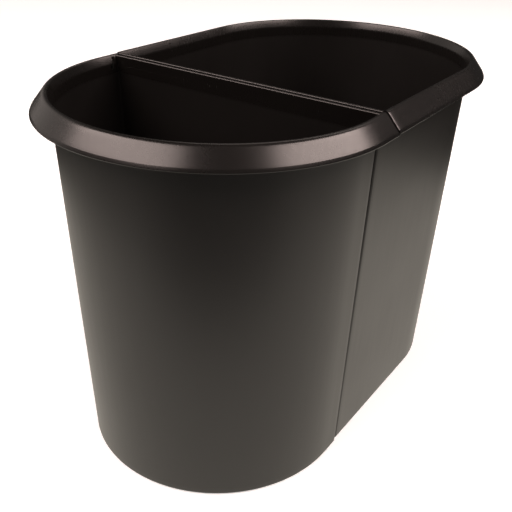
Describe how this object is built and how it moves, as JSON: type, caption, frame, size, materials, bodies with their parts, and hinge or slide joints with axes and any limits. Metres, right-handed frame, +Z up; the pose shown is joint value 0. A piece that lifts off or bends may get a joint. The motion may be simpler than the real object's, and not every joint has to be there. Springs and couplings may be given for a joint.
{
  "type": "double recycling bin",
  "caption": "Black plastic waste bin of straight-sided oval plan, split into a small and a large open bin that stand flat wall to flat wall and couple at the rim.",
  "frame": {"origin": "middle of the footprint, on the floor the bins stand on", "axes": "+Z up; X along the length, small bin towards -X and large bin towards +X; Y across, along the divider between the bins"},
  "size_m": [0.4608, 0.2898, 0.3185],
  "materials": {
    "small_bin_plastic": "satin moulded black polypropylene",
    "large_bin_plastic": "satin moulded black polypropylene"
  },
  "bodies": {
    "large_bin": {"large_bin": "large_bin_plastic"},
    "small_bin": {"small_bin": "small_bin_plastic"}
  },
  "joints": [
    {"name": "small_bin_lift", "type": "slide", "parent": "large_bin", "child": "small_bin", "axis": [0, 0, 1], "range_m": [0, 0.34]}
  ]
}
